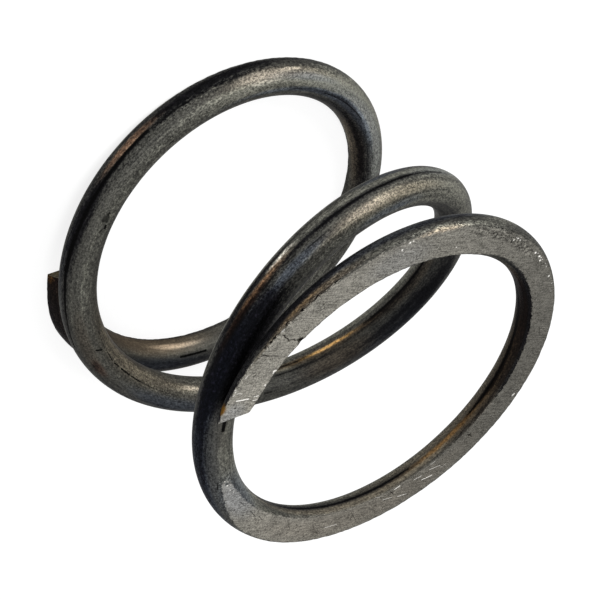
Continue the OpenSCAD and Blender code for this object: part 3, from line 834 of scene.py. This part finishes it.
    # The same painted highlight on the ground steel
    bare = s.blend(s.math("MULTIPLY", painted_highlight, 0.8), bare, STEEL_HIGHLIGHT_COLOUR)
    bare = s.heat_tints(bare, 0.55)
    in_plan = s.stretched(place, (1, 1, 0))
    bright = s.math("MULTIPLY", joined(s, strokes(s, in_plan, SCRATCHES)), s.spread(fleck, 0.3, 0.5, 0.25, 1.0))
    bright = s.math("MAXIMUM", bright, joined(s, spots(s, in_plan, DOTS)))
    bright = s.math("MAXIMUM", bright, s.math("MULTIPLY", s.spread(nick, 0.15, 0.7), s.spread(glints, 0.46, 0.54)))
    bare = s.blend(bright, bare, SCRATCH)
    dark = s.math("MULTIPLY", joined(s, strokes(s, in_plan, SCORES)), s.spread(fleck, 0.38, 0.56, 0.45, 1.0))
    dark = s.math("MAXIMUM", dark, s.spread(s.field("crack"), 0.25, 0.8, 0.0, 0.95))
    bare = s.blend(s.math("MAXIMUM", dark, dark_nicks), bare, DARK_FACE_MARK_COLOUR)
    bare = s.blend(rust, bare, rust_colour)
    ground_relief = s.math("ADD", scratch, s.math("MULTIPLY", fleck, 0.8))
    ground = s.node("ShaderNodeBsdfPrincipled", {
        "Base Color": bare, "Metallic": 1.0, "Roughness": 0.5, "Normal": s.bump(ground_relief, GRAIN_HEIGHT),
        "Specular Tint": GROUND_SHEEN,
    }).outputs[0]

    # Where one ends and the other starts wanders, and is broken up where the edge is flecked or torn
    wander = s.noise(s.stretched(wire, (2.6, 2.6, 2.0)), detail=4, roughness=0.75)
    ragged = s.math("ADD", s.field("edge"), s.math("MULTIPLY_ADD", wander, 1.2, -0.66))
    ragged = s.math("ADD", ragged, s.math("MULTIPLY", flecked, s.math("MULTIPLY_ADD", blotch, 2.6, -1.45)))
    ragged = s.math("ADD", ragged, s.math("MULTIPLY", s.field("torn"), s.math("MULTIPLY_ADD", blotch, 4.0, -2.25)))
    both = s.node("ShaderNodeMixShader", {0: s.spread(ragged, -0.04, 0.06), 1: oxide, 2: ground}).outputs[0]
    return s.finish(both)


def end_material():
    s = Shader(bpy.data.materials.new("sheared_end"))
    place = s.node("ShaderNodeTexCoord").outputs["Object"]
    tone = s.noise(s.stretched(place, END_WAVES), detail=4, roughness=0.7)
    colour = s.blend(s.spread(tone, 0.35, 0.65), END_DARK, END_LIGHT)
    return s.finish(s.node("ShaderNodeBsdfPrincipled", {
        "Base Color": colour, "Metallic": 0.8, "Roughness": 0.5, "Normal": s.bump(tone, END_HEIGHT),
    }).outputs[0])


def looked_at(s):
    """1 for what the camera sees, also in a mirror or through glass, and 0 for light on the object."""
    path = s.node("ShaderNodeLightPath").outputs
    seen = path["Is Camera Ray"]
    for name in ("Is Glossy Ray", "Is Transmission Ray"):
        seen = s.math("MAXIMUM", seen, path[name])
    return seen


def add_floor():
    """A plain pale floor: white where it is lit, with the object's soft shadow."""
    s = Shader(bpy.data.materials.new("pale_floor"))
    seen = looked_at(s)
    matt = s.node("ShaderNodeBsdfDiffuse", {"Color": (0.8, 0.8, 0.8, 1)}).outputs[0]
    half = s.node("ShaderNodeBsdfDiffuse", {"Color": (0.3, 0.3, 0.3, 1)}).outputs[0]
    glow = s.node("ShaderNodeEmission", {"Color": WHITE, "Strength": 0.8}).outputs[0]
    pale = s.node("ShaderNodeAddShader", {0: half, 1: glow}).outputs[0]
    material = s.finish(s.node("ShaderNodeMixShader", {0: seen, 1: matt, 2: pale}).outputs[0])
    bpy.ops.mesh.primitive_circle_add(vertices=64, radius=3, fill_type="NGON", location=(0, 0, 0))
    floor = bpy.context.object
    floor.name = "floor"
    floor.data.materials.append(material)


def add_world():
    """A white background at strength 1 where it is looked at, and a dimmer one as light."""
    s = Shader(bpy.data.worlds.new("studio"))
    seen = looked_at(s)
    light, background = (
        s.node("ShaderNodeBackground", {"Color": WHITE, "Strength": strength}).outputs[0]
        for strength in (WORLD_LIGHT, BACKGROUND))
    both = s.node("ShaderNodeMixShader", {0: seen, 1: light, 2: background}).outputs[0]
    bpy.context.scene.world = s.finish(both, "ShaderNodeOutputWorld")


def direction(azimuth, elevation_angle):
    """Direction from the object to a place, as the views count azimuths: 0 is at -Y and 90 at +X."""
    a, e = math.radians(azimuth), math.radians(elevation_angle)
    return Vector((math.sin(a) * math.cos(e), -math.cos(a) * math.cos(e), math.sin(e)))


def add_lamp(name, azimuth, elevation_angle, distance, width, height, power):
    light = bpy.data.lights.new(name, "AREA")
    light.shape = "RECTANGLE"
    light.size, light.size_y = width, height
    light.energy = power
    lamp = bpy.data.objects.new(name, light)
    target = Vector((0, 0, FREE_LENGTH / 2))
    to = direction(azimuth, elevation_angle)
    lamp.location = target + distance * to
    lamp.rotation_euler = to.to_track_quat("Z", "Y").to_euler()
    bpy.context.scene.collection.objects.link(lamp)


def add_camera():
    """The photograph's camera. Its place and turn come from a fit to the object's outlines."""
    camera = bpy.data.cameras.new("photo_camera")
    camera.sensor_fit = "HORIZONTAL"
    camera.sensor_width = SENSOR
    camera.lens = FOCAL_PIXELS * SENSOR / PICTURE_SIDE
    camera.clip_start, camera.clip_end = 0.01, 10
    forward = -direction(CAMERA_AZIMUTH, CAMERA_ELEVATION)
    right = forward.cross(Vector((0, 0, 1))).normalized()
    down = forward.cross(right)
    roll = math.radians(CAMERA_ROLL)
    right, down = (
        math.cos(roll) * right + math.sin(roll) * down,
        math.cos(roll) * down - math.sin(roll) * right,
    )
    place = bpy.data.objects.new("photo_camera", camera)
    columns = Matrix((right, -down, -forward)).transposed().to_4x4()
    place.matrix_world = Matrix.Translation(CAMERA_PLACE) @ columns
    bpy.context.scene.collection.objects.link(place)
    bpy.context.scene.camera = place


piece = build_wire()
piece.data.materials.append(wire_material())
piece.data.materials.append(end_material())
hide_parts("valve_spring")
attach(piece, "root")

add_floor()
add_world()
add_lamp("side_box", azimuth=-46, elevation_angle=24, distance=0.6, width=0.20, height=0.24, power=1.7)
add_lamp("top_box", azimuth=20, elevation_angle=70, distance=0.7, width=0.5, height=0.5, power=2.5)
add_camera()
bpy.context.scene.view_settings.view_transform = "Standard"
